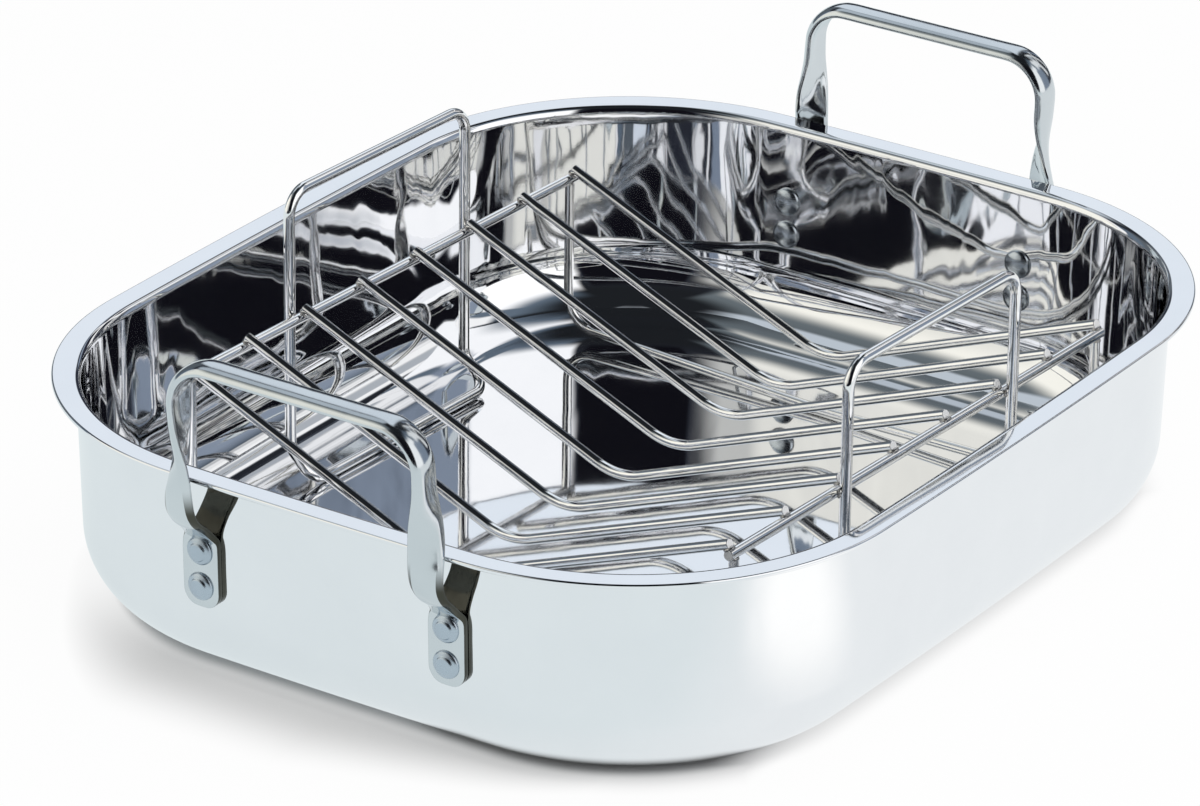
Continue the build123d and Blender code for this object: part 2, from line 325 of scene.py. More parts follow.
def distance_between(graph, east, north, place):
    """How far a spot of the floor is from a place."""
    aside = graph.math("POWER", graph.math("ABSOLUTE", graph.math("SUBTRACT", east, place[0])), 2.0)
    ahead = graph.math("POWER", graph.math("ABSOLUTE", graph.math("SUBTRACT", north, place[1])), 2.0)
    return graph.math("SQRT", graph.math("ADD", aside, ahead))


def distance_from_base(graph, east, north):
    """How far a spot of the floor is outside the pan's flat base."""
    across = graph.math("MAXIMUM", graph.math("SUBTRACT", graph.math("ABSOLUTE", east), base_half_x), 0.0)
    along = graph.math("MAXIMUM", graph.math("SUBTRACT", graph.math("ABSOLUTE", north), base_half_y), 0.0)
    return graph.math("SUBTRACT", distance_between(graph, across, along, (0.0, 0.0)), base_corner)


def painted_shadow_share(graph, east, north, from_base):
    """How white the camera sees the table's glow, a painted shadow: least at the base, most out of it, with
    painted light on the lit side.
    """
    lit_side = graph.math("MULTIPLY", graph.remap(north, *lit_side_band, 0, lit_side_share, True),
                          graph.remap(from_base, *lit_foot_band, lit_foot_share, 1.0, True))
    least = graph.remap(north, *shadow_end_band, *shadow_shares, True)
    contact = graph.remap(from_base, *contact_band, 0.0, least, True)
    core = graph.remap(north, *core_places, *core_reach)
    reach = graph.remap(north, *core_places, *shadow_reach)
    fading = graph.remap(from_base, core, reach, 0, fade_share, True)
    share = graph.math("MINIMUM", graph.math("ADD", contact, fading), most_share)
    return graph.math("MAXIMUM", share, lit_side)


def painted_reflection_colour(graph, east, north):
    """A painted reflection: the glow the metal mirrors from the table, bluer at the sides, with a painted
    highlight at one corner.
    """
    front = graph.math("MULTIPLY", graph.remap(east, *front_band_x, 0, 1, True),
                       graph.remap(north, *front_band_y, 0, 1, True))
    colour = graph.blend(front, (*side_painted_reflection, 1), (*front_painted_reflection, 1))
    corner = graph.remap(distance_between(graph, east, north, painted_highlight_place), *painted_highlight_band, 1, 0, True)
    return graph.blend(corner, colour, (*corner_painted_highlight, 1))


def studio_floor():
    """A wide white table that keeps the pan's shadow, with painted shadow and painted light in the glow the
    camera sees, and a painted reflection that only the metal sees.
    """
    mesh = bpy.data.meshes.new("table_top")
    corners = [(x * table_reach, y * table_reach, 0) for x, y in ((-1, -1), (1, -1), (1, 1), (-1, 1))]
    mesh.from_pydata(corners, [], [(0, 1, 2, 3)])
    table = bpy.data.objects.new("table_top", mesh)
    bpy.context.collection.objects.link(table)
    material = bpy.data.materials.new("white_table")
    material.use_nodes = True
    graph = Graph(material.node_tree)
    graph.tree.nodes.clear()
    spot = graph.add("ShaderNodeSeparateXYZ", {0: graph.add("ShaderNodeTexCoord").outputs["Object"]})
    east, north = spot.outputs[0], spot.outputs[1]
    from_base = distance_from_base(graph, east, north)
    path = graph.add("ShaderNodeLightPath")
    # Painted shadow and painted light: how white the camera sees the table, by place
    seen = graph.math("MULTIPLY", path.outputs["Is Camera Ray"], painted_shadow_share(graph, east, north, from_base))
    # Painted shade: mirror rays close to the base see the paint, not the glow
    near_painted_shade_corner = distance_between(graph, east, north, painted_shade_corner)
    painted_shade_edge = graph.math("SUBTRACT", from_base, graph.remap(near_painted_shade_corner, *painted_shade_corner_band, *painted_shade_reaches, True))
    mirrored = graph.math("MULTIPLY", path.outputs["Is Glossy Ray"],
                          graph.remap(painted_shade_edge, 0.0, painted_shade_softness, 0.0, painted_reflection_share, True))
    paint = graph.add("ShaderNodeBsdfDiffuse", {"Color": (table_paint, table_paint, table_paint, 1)})
    glow = graph.add("ShaderNodeEmission", {"Color": (1, 1, 1, 1), "Strength": 1.0})
    # Painted reflection: the table glows with this colour for mirror rays only
    painted_reflection_glow = graph.add("ShaderNodeEmission", {"Color": painted_reflection_colour(graph, east, north), "Strength": 1.0})
    mix = graph.add("ShaderNodeMixShader", {0: seen, 1: paint, 2: glow})
    mix = graph.add("ShaderNodeMixShader", {0: mirrored, 1: mix, 2: painted_reflection_glow})
    graph.add("ShaderNodeOutputMaterial", {0: mix})
    mesh.materials.append(material)


# Finishes

def polished_metal(name, light, dark, rough, wave_size, wave_height, calm=None, painted_shade=None, metal=1.0):
    """Bright metal with a slow waver from forming, faint rubbing marks and cloudy patches.

    Light and dark are the cloud's two colours. Waves are in millimetres. Calm gives the heights between
    which the waver grows and where it ends, and its least share. Painted shade gives the heights between
    which a cloudy painted shade below gives way to clean metal above, and the shade's colour.
    """
    material = bpy.data.materials.new(name)
    material.use_nodes = True
    graph = Graph(material.node_tree)
    shader = graph.tree.nodes["Principled BSDF"]
    shader.inputs["Metallic"].default_value = metal
    where = graph.add("ShaderNodeTexCoord").outputs["Object"]
    level = graph.add("ShaderNodeSeparateXYZ", {0: where}).outputs[2]
    cloud = graph.add("ShaderNodeTexNoise", {"Vector": where, "Scale": cloud_scale, "Detail": 4.0,
                                             "Roughness": 0.6}).outputs[0]
    colour = graph.blend(cloud, (*light, 1), (*dark, 1))
    # Painted shade: below the lower height the colour turns to a cloudy dark, the shade where the strap faces
    # the wall
    if painted_shade:
        low, high, tint = painted_shade
        deep = [channel * shade_depth for channel in tint]
        cloudy_shade = graph.blend(graph.remap(cloud, *shade_cloud_range, 0, 1), (*tint, 1), (*deep, 1))
        colour = graph.blend(graph.remap(level, low * MM, high * MM, 1, 0, True), colour, cloudy_shade)
    graph.feed(shader.inputs["Base Color"], colour)

    stretched = graph.add("ShaderNodeMapping", {"Vector": where, "Scale": rub_scale, "Rotation": rub_turn})
    marks = graph.add("ShaderNodeTexNoise", {"Vector": stretched, "Scale": 1.0, "Detail": 3.0}).outputs[0]
    rubbed = graph.math("MULTIPLY", graph.remap(marks, *mark_range, 0, 1), rub_roughness * rough)
    clouded = graph.remap(cloud, *noise_range, rough * least_rough, rough * most_rough)
    spread = graph.math("ADD", clouded, rubbed)
    graph.feed(shader.inputs["Roughness"], spread)

    drawn = graph.add("ShaderNodeMapping", {"Vector": where, "Scale": drawn_stretch})
    slow = graph.add("ShaderNodeTexNoise", {"Vector": drawn, "Scale": 1000 / wave_size, "Detail": 1.5,
                                            "Roughness": 0.35, "Distortion": 0.6}).outputs[0]
    ridges = graph.add("ShaderNodeTexNoise", {"Vector": drawn, "Scale": 1000 / (wave_size * ridge_size),
                                              "Detail": 1.0, "Roughness": 0.3, "Distortion": 0.9}).outputs[0]
    relief = graph.math("ADD", slow, graph.math("MULTIPLY", ridges, ridge_weight))
    strength = 1.0
    if calm:
        bottom, full, top, least = calm
        rising = graph.remap(level, bottom * MM, full * MM, least, 1.0, True)
        ending = graph.remap(level, (top - calm_end) * MM, top * MM, 1.0, least * calm_end_share)
        strength = graph.math("MULTIPLY", rising, ending)
    swell = graph.add("ShaderNodeBump", {"Height": relief, "Distance": wave_height * MM, "Strength": strength})
    rub = graph.add("ShaderNodeBump", {"Height": marks, "Distance": rub_depth, "Strength": rub_strength,
                                       "Normal": swell.outputs[0]})
    graph.feed(shader.inputs["Normal"], rub)
    return material


# Curves and meshes

def socket_key(tree, name):
    """The identifier of a tree's named input."""
    for item in tree.interface.items_tree:
        if item.item_type == "SOCKET" and item.in_out == "INPUT" and item.name == name:
            return item.identifier


def new_tree(name, inputs):
    """An empty geometry tree with named inputs."""
    tree = bpy.data.node_groups.new(name, "GeometryNodeTree")
    tree.interface.new_socket(name="Geometry", in_out="OUTPUT", socket_type="NodeSocketGeometry")
    for label, kind in inputs:
        tree.interface.new_socket(name=label, in_out="INPUT", socket_type="NodeSocket" + kind)
    return tree


def finish_tree(graph, geometry, finish, crease):
    """Smooth faces, keep edges sharper than the crease angle, realise and give the finish."""
    smooth = graph.add("GeometryNodeSetShadeSmooth", {"Geometry": geometry, "Shade Smooth": True},
                       domain="FACE")
    angle = graph.add("GeometryNodeInputMeshEdgeAngle").outputs[0]
    sharp = graph.add("FunctionNodeCompare", {0: angle, 1: crease}, data_type="FLOAT",
                      operation="GREATER_THAN")
    edges = graph.add("GeometryNodeSetShadeSmooth", {"Geometry": smooth, "Selection": sharp.outputs[0],
                                                    "Shade Smooth": False}, domain="EDGE")
    real = graph.add("GeometryNodeRealizeInstances", {0: edges})
    coated = graph.add("GeometryNodeSetMaterial", {"Geometry": real, "Material": finish})
    graph.add("NodeGroupOutput", {0: coated})


def bent_wire_tree():
    """A round wire along a route of straight runs, bent at each corner by its own radius."""
    tree = new_tree("bent_wire", [("Route", "Geometry"), ("Wire radius", "Float"), ("Sides", "Int"),
                                  ("Bend steps", "Int"), ("Finish", "Material")])
    graph = Graph(tree)
    given = graph.add("NodeGroupInput")
    line = graph.add("GeometryNodeMeshToCurve", {"Mesh": given.outputs["Route"]})
    bend = graph.add("GeometryNodeInputNamedAttribute", {"Name": "bend_radius"}, data_type="FLOAT")
    bent = graph.add("GeometryNodeFilletCurve", {"Curve": line, "Count": given.outputs["Bend steps"],
                                                "Radius": bend.outputs[0]}, mode="POLY")
    even = graph.add("GeometryNodeSetCurveRadius", {"Curve": bent, "Radius": 1.0})
    ring = graph.add("GeometryNodeCurvePrimitiveCircle", {"Resolution": given.outputs["Sides"],
                                                         "Radius": given.outputs["Wire radius"]})
    tube = graph.add("GeometryNodeCurveToMesh", {"Curve": even, "Profile Curve": ring.outputs[0],
                                                 "Fill Caps": True})
    finish_tree(graph, tube, given.outputs["Finish"], crease_angle)
    return tree


def swept_section_tree():
    """A sheet or lathe section carried round a closed path, with its two ends closed at the middle."""
    tree = new_tree("swept_section", [("Path", "Geometry"), ("Section", "Object"), ("Finish", "Material"),
                                      ("Merge distance", "Float"), ("Crease angle", "Float")])
    graph = Graph(tree)
    given = graph.add("NodeGroupInput")
    path = graph.add("GeometryNodeMeshToCurve", {"Mesh": given.outputs["Path"]})
    upright = graph.add("GeometryNodeSetCurveNormal", {"Curve": path}, mode="Z_UP")
    section = graph.add("GeometryNodeObjectInfo", {"Object": given.outputs["Section"]})
    profile = graph.add("GeometryNodeMeshToCurve", {"Mesh": section.outputs["Geometry"]})
    even = graph.add("GeometryNodeSetCurveRadius", {"Curve": upright, "Radius": 1.0})
    swept = graph.add("GeometryNodeCurveToMesh", {"Curve": even, "Profile Curve": profile,
                                                  "Fill Caps": False})
    merge = given.outputs["Merge distance"]
    welded = graph.add("GeometryNodeMergeByDistance", {"Geometry": swept, "Distance": merge})
    sides = graph.add("GeometryNodeInputMeshEdgeNeighbors").outputs[0]
    open_edge = graph.add("FunctionNodeCompare", {2: sides, 3: 1}, data_type="INT", operation="EQUAL")
    grown = graph.add("GeometryNodeExtrudeMesh", {"Mesh": welded, "Selection": open_edge.outputs[0],
                                                 "Offset Scale": 0.0}, mode="EDGES")
    spot = graph.add("ShaderNodeSeparateXYZ", {0: graph.add("GeometryNodeInputPosition")})
    hub = graph.add("ShaderNodeCombineXYZ", {2: spot.outputs[2]})
    closed = graph.add("GeometryNodeSetPosition", {"Geometry": grown, "Selection": grown.outputs["Top"],
                                                  "Position": hub})
    sealed = graph.add("GeometryNodeMergeByDistance", {"Geometry": closed, "Distance": merge})
    finish_tree(graph, sealed, given.outputs["Finish"], given.outputs["Crease angle"])
    return tree


def weld_bead_tree():
    """A small uneven bead at each marked place, lying flat in the joint."""
    tree = new_tree("weld_beads", [("Places", "Geometry"), ("Bead radius", "Float"), ("Flatness", "Float"),
                                   ("Unevenness", "Float"), ("Seed", "Int"), ("Finish", "Material")])
    graph = Graph(tree)
    given = graph.add("NodeGroupInput")
    ball = graph.add("GeometryNodeMeshIcoSphere", {"Radius": given.outputs["Bead radius"], "Subdivisions": 4})
    normal = graph.add("GeometryNodeInputNamedAttribute", {"Name": "joint_normal"}, data_type="FLOAT_VECTOR")
    turn = graph.add("FunctionNodeAlignRotationToVector", {"Vector": normal.outputs[0]}, axis="Z")
    size = graph.add("FunctionNodeRandomValue", {2: least_bead, 3: most_bead, "Seed": given.outputs["Seed"]},
                     data_type="FLOAT")
    flat = graph.add("ShaderNodeCombineXYZ", {0: 1.0, 1: 1.0, 2: given.outputs["Flatness"]})
    scale = graph.add("ShaderNodeVectorMath", {0: flat, "Scale": size.outputs[1]}, operation="SCALE")
    beads = graph.add("GeometryNodeInstanceOnPoints", {"Points": given.outputs["Places"], "Instance": ball,
                                                      "Rotation": turn, "Scale": scale})
    real = graph.add("GeometryNodeRealizeInstances", {0: beads})
    lumps = graph.add("ShaderNodeTexNoise", {"Scale": bead_lump_scale, "Detail": 2.0})
    spread = graph.math("MULTIPLY", graph.remap(lumps.outputs[0], *noise_range, -1, 1),
                        given.outputs["Unevenness"])
    push = graph.add("ShaderNodeVectorMath", {0: graph.add("GeometryNodeInputNormal"), "Scale": spread},
                     operation="SCALE")
    uneven = graph.add("GeometryNodeSetPosition", {"Geometry": real, "Offset": push})
    finish_tree(graph, uneven, given.outputs["Finish"], bead_crease_angle)
    return tree


def line_mesh(name, points, closed=False, bends=None):
    """Points joined in a row, in metres, with a bend radius kept at each."""
    count = len(points)
    edges = [(i, i + 1) for i in range(count - 1)] + ([(count - 1, 0)] if closed else [])
    mesh = bpy.data.meshes.new(name)
    mesh.from_pydata([Vector(p) * MM for p in points], edges, [])
    if bends:
        layer = mesh.attributes.new("bend_radius", "FLOAT", "POINT")
        layer.data.foreach_set("value", [radius * MM for radius in bends])
    thing = bpy.data.objects.new(name, mesh)
    bpy.context.collection.objects.link(thing)
    return thing


def run_tree(thing, tree, values, bevel=None):
    """Run a tree on an object and keep its result as a plain mesh with outward faces."""
    modifier = thing.modifiers.new("shape", "NODES")
    modifier.node_group = tree
    for label, value in values.items():
        modifier[socket_key(tree, label)] = value
    if bevel:
        rounder = thing.modifiers.new("rounder", "BEVEL")
        rounder.width, rounder.segments = bevel * MM, 2
        rounder.limit_method, rounder.angle_limit = "ANGLE", crease_angle
    bpy.context.view_layer.update()
    graph = bpy.context.evaluated_depsgraph_get()
    made = bpy.data.meshes.new_from_object(thing.evaluated_get(graph), depsgraph=graph)
    thing.modifiers.clear()
    thing.data = made
    made.name = thing.name
    turn_outward(made)
    return thing


def turn_outward(mesh):
    """Every face of a mesh turned to point out."""
    work = bmesh.new()
    work.from_mesh(mesh)
    bmesh.ops.recalc_face_normals(work, faces=work.faces)
    work.to_mesh(mesh)
    work.free()


def arc_points(centre, radius, first, last, steps):
    """Points on an arc in the plane of a section, from one angle to another in degrees."""
    found = []
    for step in range(steps + 1):
        angle = math.radians(first + (last - first) * step / steps)
        found.append((centre[0] + radius * math.cos(angle), centre[1] + radius * math.sin(angle)))
    return found


# Pan outline and section

def outline_arcs():
    """Centres and radii of the outline's side, corner and end arcs, for the first quarter."""
    side_centre = Vector((0, rim_half_width - rim_side_bow_radius))
    end_centre = Vector((rim_half_length - rim_end_bow_radius, 0))
    reach_side = rim_side_bow_radius - rim_corner_radius
    reach_end = rim_end_bow_radius - rim_corner_radius
    between = end_centre - side_centre
    apart = between.length
    along = (apart ** 2 + reach_side ** 2 - reach_end ** 2) / (2 * apart)
    across = math.sqrt(reach_side ** 2 - along ** 2)
    unit = between / apart
    normal = Vector((-unit.y, unit.x))
    choices = [side_centre + unit * along + normal * across * way for way in (1, -1)]
    corner_centre = max(choices, key=lambda point: point.x + point.y)
    return side_centre, corner_centre, end_centre


def rim_outline():
    """The lip's outer edge as points, once round."""
    side_centre, corner_centre, end_centre = outline_arcs()
    to_end = (corner_centre - end_centre).normalized()
    to_side = (corner_centre - side_centre).normalized()
    end_angle = math.degrees(math.atan2(to_end.y, to_end.x))
    side_angle = math.degrees(math.atan2(to_side.y, to_side.x))
    quarter = arc_points(end_centre, rim_end_bow_radius, 0, end_angle, end_steps)[:-1]
    quarter += arc_points(corner_centre, rim_corner_radius, end_angle, side_angle, corner_steps)[:-1]
    quarter += arc_points(side_centre, rim_side_bow_radius, side_angle, 90, side_steps)
    half = quarter + [(-x, y) for x, y in reversed(quarter[:-1])]
    return half + [(x, -y) for x, y in reversed(half[1:-1])]


def sheet_section():
    """The sheet's section from the middle of the floor out to the lip and back under."""
    lean = math.degrees(wall_draft)

    def wall_inset(start, height):
        return start + (rim_height - height) * math.tan(wall_draft)

    def floor_bend(start, base, radius):
        middle = base + radius
        centre = (wall_inset(start, middle) + radius / math.cos(wall_draft), middle)
        return arc_points(centre, radius, 270, 180 + lean, floor_bend_steps)

    def top_bend(start, top, radius, steps):
        middle = top - radius
        centre = (wall_inset(start, middle) - radius / math.cos(wall_draft), middle)
        return arc_points(centre, radius, lean, 90, steps)

    inside = floor_bend(lip_width + sheet, sheet, floor_radius - sheet)
    crease = top_bend(lip_width + sheet, rim_height, crease_radius, crease_steps)
    under = top_bend(lip_width, rim_height - sheet, crease_radius - sheet, under_steps)
    outside = floor_bend(lip_width, 0, floor_radius)
    round_off = lip_edge_radius
    edge = arc_points((round_off, rim_height - round_off), round_off, 90, 180, lip_edge_steps)
    edge += arc_points((round_off, rim_height - sheet + round_off), round_off, 180, 270, lip_edge_steps)
    hub_top, hub_foot = [(floor_hub_inset, sheet)], [(floor_hub_inset, 0)]
    points = []
    for part in (hub_top, inside, crease, edge, under[::-1], outside[::-1], hub_foot):
        if points:
            points += eased_run(points[-1], part[0])
        points += part
    return points


def eased_run(start, stop):
    """Points between two bends: one close to each end, so that the bends end crisply, and a few between."""
    start, stop = Vector(start), Vector(stop)
    length = (stop - start).length
    near = min(crisp_reach, length * crisp_share) / length
    shares = [near, 0.25, 0.5, 0.75, 1 - near] if length > long_run else [near, 1 - near]
    return [tuple(start.lerp(stop, share)) for share in shares]


def make_pan_body(tree, finish):
    """The whole pan: its sheet section swept once round the outline."""
    path = line_mesh("pan_body_skin", [(x, y, 0) for x, y in rim_outline()], closed=True)
    section = line_mesh("pan_section", [(-inset, -height, 0) for inset, height in sheet_section()])
    run_tree(path, tree, {"Section": section, "Finish": finish, "Merge distance": pan_merge * MM,
                          "Crease angle": crease_angle})
    bpy.data.objects.remove(section)
    return path


# Places on the end walls

def wall_point(across, height):
    """A place on the outside of the far end's wall."""
    inset = lip_width + (rim_height - height) * math.tan(wall_draft)
    bow = rim_end_bow_radius - inset
    reach = rim_half_length - rim_end_bow_radius + math.sqrt(bow ** 2 - across ** 2)
    return Vector((reach, across, height))


def lug_frame(way):
    """Side, up and outward directions and the middle of a lug's seat, for the +X end."""
    across = strap_side_offset * way
    middle = wall_point(across, (rivet_upper_height + rivet_lower_height) / 2)
    up = (wall_point(across, rim_height) - middle).normalized()
    side = (wall_point(across + lug_width, middle.z) - middle).normalized()
    out = side.cross(up).normalized()
    return Matrix((side, out.cross(side), out)).transposed().to_4x4(), middle


def turned_end(end):
    """The turn that takes the +X end to the wanted end."""
    return Matrix.Rotation(0 if end == "far" else math.pi, 4, "Z")


# Handles

# Lug rows: height above the lug's tip, share of its width, roundness of the section
lug_rows = ((12, 1.0, 0), (18, 1.0, 0), (24, 1.0, 0), (28.2, 0.975, 0.15))
# Each station of the leg: outward share, share of the climb, twist in degrees, width and thickness
# shares, roundness of the section
strap_station_shares = (
    (0.17, 0.035, 0, 1.10, 0.62, 0.7),
    (0.42, 0.100, 0, 1.06, 0.72, 1.0),
    (0.73, 0.169, 2, 1.06, 0.80, 1.0),
    (0.94, 0.255, 5, 1.08, 0.86, 1.0),
    (1.00, 0.359, 12, 1.08, 0.92, 1.0),
    (0.96, 0.462, 25, 1.06, 0.96, 1.0),
    (0.92, 0.560, 40, 1.05, 1.00, 1.0),
    (0.91, 0.658, 56, 1.05, 1.03, 1.0),
    (0.92, 0.761, 73, 1.03, 1.05, 1.0),
    (0.94, 0.870, 86, 1.00, 1.05, 1.0),
)
# Sections of the strap, on the leg and at the lug: shares of its width and thickness, front upward
domed_section_shares = (
    (-0.500, -0.26), (-0.450, 0.08), (-0.300, 0.38), (0.000, 0.50),
    (0.300, 0.38), (0.450, 0.08), (0.500, -0.26), (0.430, -0.50),
    (0.240, -0.42), (0.000, -0.36), (-0.240, -0.42), (-0.430, -0.50),
)
flat_section_shares = (
    (-0.500, -0.34), (-0.500, 0.28), (-0.455, 0.48), (0.000, 0.50),
    (0.455, 0.48), (0.500, 0.28), (0.500, -0.34), (0.475, -0.50),
    (0.240, -0.50), (0.000, -0.50), (-0.240, -0.50), (-0.475, -0.50),
)


def smooth_between(table, place):
    """A value on a smooth curve through a table's rows, at a place counted in rows."""
    last = len(table) - 1
    index = min(int(place), last - 1)
    share = place - index
    before, first = table[max(index - 1, 0)], table[index]
    second, after = table[index + 1], table[min(index + 2, last)]
    found = []
    for a, b, c, d in zip(before, first, second, after):
        slope_in, slope_out = (c - a) / 2, (d - b) / 2
        found.append(
            b * (2 * share ** 3 - 3 * share ** 2 + 1)
            + c * (3 * share ** 2 - 2 * share ** 3)
            + slope_in * (share ** 3 - 2 * share ** 2 + share)
            + slope_out * (share ** 3 - share ** 2)
        )
    return found


def closed_section(shares, steps):
    """A closed smooth curve through the section's points, resampled."""
    count = len(shares)
    looped = [shares[-1], *shares, shares[0], shares[1]]
    return [smooth_between(looped, 1 + count * step / steps) for step in range(steps)]


def strap_keys():
    """The half strap from lug to grip's middle, in rows of place, facing, width, thickness, roundness."""
    turn, seat = lug_frame(1)
    lug_middle = lug_gap + lug_thick / 2
    low = -rivet_spacing / 2 - lug_below_rivet
    rows = []
    for height, wide, round_share in lug_rows:
        place = seat + turn.to_3x3() @ Vector((0, low + height, lug_middle))
        rows.append((*place, 1, 0, 0, lug_width * wide, lug_thick, round_share))
    wall_x = wall_point(strap_side_offset, rim_height).x
    corner_height = grip_height - grip_corner_radius
    foot = rivet_upper_height + strap_foot_rise
    climb = corner_height - foot
    for out, rise, twist, wide, thick, round_share in strap_station_shares:
        angle = math.radians(twist)
        rows.append((wall_x + out * lobe_out, strap_side_offset, foot + rise * climb,
                     math.cos(angle), math.sin(angle), 0,
                     wide * strap_width, thick * strap_thick, round_share))
    grip_x, inner_y = wall_x + grip_out, strap_side_offset - grip_corner_radius
    for step in range(grip_corner_steps + 1):
        angle = math.pi / 2 * step / grip_corner_steps
        facing = Vector((0, math.cos(angle), math.sin(angle)))
        place = Vector((grip_x, inner_y, corner_height)) + facing * grip_corner_radius
        rows.append((*place, *facing, strap_width, strap_thick, 1))
    for share in grip_shares:
        rows.append((grip_x, inner_y * share, grip_height, 0, 0, 1, strap_width, strap_thick, 1))
    return rows


def make_handle(end, finish, painted_shade_finish):
    """One strap from lug to lug: rounded ends, neck, lobe, twist, corner and grip in one skin."""
    rows = strap_keys()
    turn, seat = lug_frame(1)
    low = -rivet_spacing / 2 - lug_below_rivet
    tip = []
    for share in lug_tip_shares:
        climb = share * lug_end_radius
        drawn_in = lug_end_radius - math.sqrt(lug_end_radius ** 2 - (lug_end_radius - climb) ** 2)
        thin = 1 - lug_tip_thinning * max(0, 1 - climb / lug_tip_length) ** 2
        place = seat + turn.to_3x3() @ Vector((0, low + climb, lug_gap + lug_thick / 2))
        tip.append((*place, 1, 0, 0, lug_width - 2 * drawn_in, lug_thick * thin, 0))
    places = range((len(rows) - 1) * strap_steps + 1)
    half = tip + [tuple(smooth_between(rows, place / strap_steps)) for place in places]
    mirrored = [(x, -y, z, face_x, -face_y, *rest) for x, y, z, face_x, face_y, *rest in reversed(half[:-1])]
    rings = half + mirrored
    across = strap_sides
    domed, flat = closed_section(domed_section_shares, across), closed_section(flat_section_shares, across)
    mesh = bmesh.new()
    loops = []
    for number, row in enumerate(rings):
        before, after = rings[max(number - 1, 0)], rings[min(number + 1, len(rings) - 1)]
        place = Vector(row[:3])
        tangent = (Vector(after[:3]) - Vector(before[:3])).normalized()
        facing = Vector(row[3:6])
        facing = (facing - tangent * facing.dot(tangent)).normalized()
        side = facing.cross(tangent)
        width, thick, round_share = row[6:9]
        ring = []
        for (u0, v0), (u1, v1) in zip(flat, domed):
            u, v = u0 + (u1 - u0) * round_share, v0 + (v1 - v0) * round_share
            ring.append(mesh.verts.new((place + side * (u * width) + facing * (v * thick)) * MM))
        loops.append(ring)
    # Faces towards the wall and at the strap's sides, and the lug tips, take the painted shade finish
    in_painted_shade = [depth < strap_back_depth or abs(aside) > strap_edge_reach for aside, depth in flat]
    for first, second in zip(loops, loops[1:]):
        for k in range(across):
            face = mesh.faces.new((first[k], first[(k + 1) % across], second[(k + 1) % across], second[k]))
            face.material_index = int(in_painted_shade[k] and in_painted_shade[(k + 1) % across])
    mesh.faces.new(loops[0][::-1]).material_index = 1
    mesh.faces.new(loops[-1]).material_index = 1
    mesh.transform(turned_end(end))
    bmesh.ops.recalc_face_normals(mesh, faces=mesh.faces)
    for face in mesh.faces:
        face.smooth = True
    data = bpy.data.meshes.new(f"handle_{end}_strap")
    mesh.to_mesh(data)
    mesh.free()
    data.materials.append(finish)
    data.materials.append(painted_shade_finish)
    handle = bpy.data.objects.new(data.name, data)
    bpy.context.collection.objects.link(handle)
    return handle


# Rivets

# Outer head: shares of its radius and height, from the stepped middle to the rim
outer_head_shares = (
    (0.50, 0.985), (0.575, 0.94), (0.625, 0.83), (0.665, 0.70), (0.72, 0.645), (0.82, 0.565),
    (0.90, 0.46), (0.96, 0.32), (0.99, 0.19), (1.0, 0.10), (0.975, 0.0),
)


def rivet_section():
    """Half section of a rivet, from the stepped outer head to the domed inner one, as radius and height."""
    seat = lug_gap + lug_thick
    points = [(0.0, seat + outer_head_height)]
    for radius_share, height_share in outer_head_shares:
        points.append((outer_head_radius * radius_share, seat + outer_head_height * height_share))
    points += [(rivet_shank_radius, seat), (rivet_shank_radius, -sheet)]
    inner = [(inner_head_radius - inner_head_undercut, 0)]
    dome = inner_head_height - inner_head_edge
    for share in inner_dome_shares:
        angle = math.pi / 2 * share
        inner.append((inner_head_radius * math.cos(angle), -inner_head_edge - dome * math.sin(angle)))
    inner.append((0.0, -inner_head_height))
    points += [(radius, -sheet + height) for radius, height in inner]
    return points


def make_rivets(tree, finish, outer_finish):
    """One rivet for each hole, turned by the swept section tree and set square to the wall."""
    hub = 1.0
    made = []
    turns = [2 * math.pi * step / rivet_steps for step in range(rivet_steps)]
    ring = [(hub * math.cos(angle), hub * math.sin(angle), 0) for angle in turns]
    section = line_mesh("rivet_section", [(radius - hub, -height, 0) for radius, height in rivet_section()])
    for end in ("near", "far"):
        for side_name, side_way in (("left", 1), ("right", -1)):
            way = side_way if end == "far" else -side_way
            turn, seat = lug_frame(way)
            for row, height in (("lower", -rivet_spacing / 2), ("upper", rivet_spacing / 2)):
                name = f"rivet_{end}_{side_name}_{row}"
                piece = line_mesh(name + "_head", ring, closed=True)
                run_tree(piece, tree, {"Section": section, "Finish": finish,
                                       "Merge distance": rivet_merge * MM, "Crease angle": crease_angle})
                piece.data.materials.append(outer_finish)
                for face in piece.data.polygons:
                    face.material_index = int(face.center.z > 0)
                place = seat + turn.to_3x3() @ Vector((0, height, 0))
                piece.data.transform(turned_end(end) @ Matrix.Translation(place * MM) @ turn)
                made.append((piece, name))
    bpy.data.objects.remove(section)
    return made


# Rack

def seated(point):
    """A rack point where the rack lies in the pan."""
    turned = Matrix.Rotation(rack_turn, 3, "Z") @ Vector(point)
    return turned + Vector((*rack_shift, 0))


def make_wire(tree, name, points, bends, radius, finishes, closed=False):
    """One wire through its route's corners; an open one gets bevelled ends with the cut's own finish."""
    finish, cut_finish = finishes
    wire = line_mesh(name, [seated(p) for p in points], closed, bends)
    run_tree(wire, tree, {"Wire radius": radius * MM, "Sides": wire_sides, "Bend steps": wire_bend_steps,
                          "Finish": finish}, bevel=None if closed else wire_end_bevel)
    if not closed:
        wire.data.materials.append(cut_finish)
        for face in wire.data.polygons:
            face.material_index = int(len(face.vertices) > 4)
    return wire


def v_axis_height(across):
    """The height of a V wire's axis over a place across the rack."""
    stack = (rail_wire_radius + v_wire_radius - weld_sink) / math.cos(v_rise)
    return rail_height + stack + (across - rail_offset) * math.tan(v_rise)


